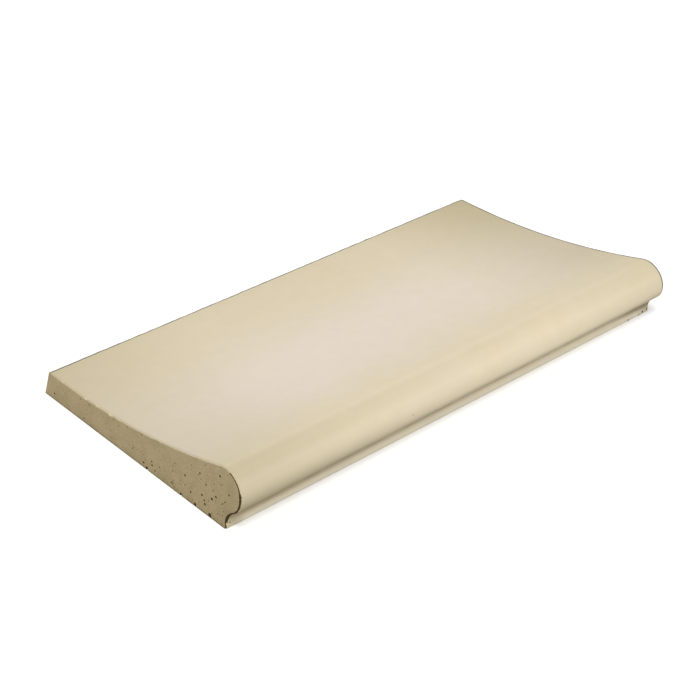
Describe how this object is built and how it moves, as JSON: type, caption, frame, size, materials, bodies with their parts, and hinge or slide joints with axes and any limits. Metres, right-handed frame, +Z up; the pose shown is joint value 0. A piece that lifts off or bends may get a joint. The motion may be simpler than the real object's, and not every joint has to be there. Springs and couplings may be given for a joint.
{
  "type": "pool coping stone",
  "caption": "Cast concrete coping stone for a pool edge, with a dished top that climbs to a full round nose, a finger recess under the nose and a low upright lip.",
  "frame": {"origin": "in the plane of the bedding face, under the middle of the stone's box", "axes": "+X along the pool edge, -Y towards the water, where the nose is, +Z up"},
  "size_m": [0.5, 0.2714, 0.0545],
  "materials": {
    "cast_stone": "smooth matt cast face in cream beige; the ends are darker, rougher and pitted with air holes"
  },
  "bodies": {
    "root": {"coping_stone": "cast_stone"}
  },
  "joints": []
}
